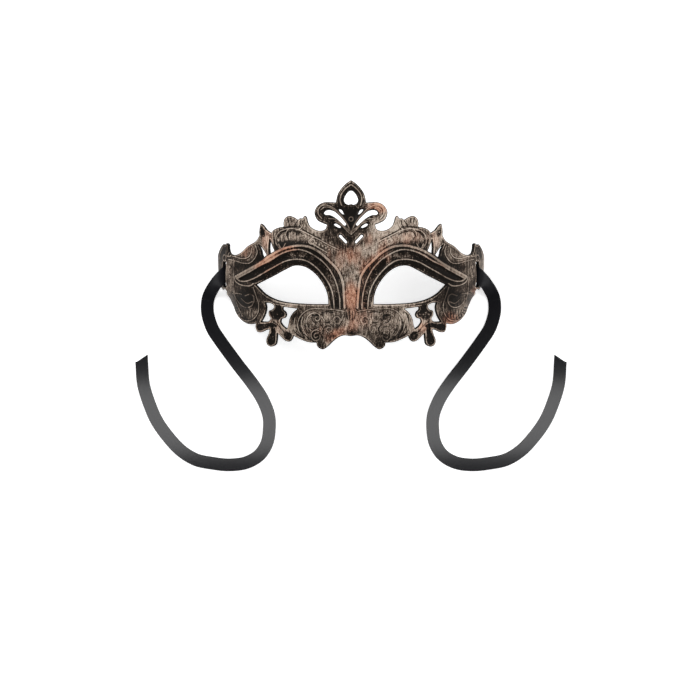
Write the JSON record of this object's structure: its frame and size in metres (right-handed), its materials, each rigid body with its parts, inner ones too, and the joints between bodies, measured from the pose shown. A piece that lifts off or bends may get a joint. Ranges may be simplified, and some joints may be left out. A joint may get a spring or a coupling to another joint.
{
  "type": "venetian eye mask",
  "caption": "Pierced half mask of moulded plastic with a scrolled crest, raised brow bands, pendants and ribbon ties, lying on its back.",
  "frame": {"origin": "on the surface that the mask lies on, under the middle of its width and height without the ribbons", "axes": "+X from wing to wing towards the wearer's left, +Y from the chin edge to the crest, +Z out of the face"},
  "size_m": [0.2922, 0.196, 0.0593],
  "materials": {
    "aged_copper_paint": "dark brown moulded plastic, dry-brushed with taupe and copper metallic paint on its raised lines",
    "black_satin": "smooth black satin ribbon with a soft sheen"
  },
  "bodies": {
    "root": {"mask": "aged_copper_paint", "ribbon_left": "black_satin", "ribbon_right": "black_satin"}
  },
  "joints": []
}
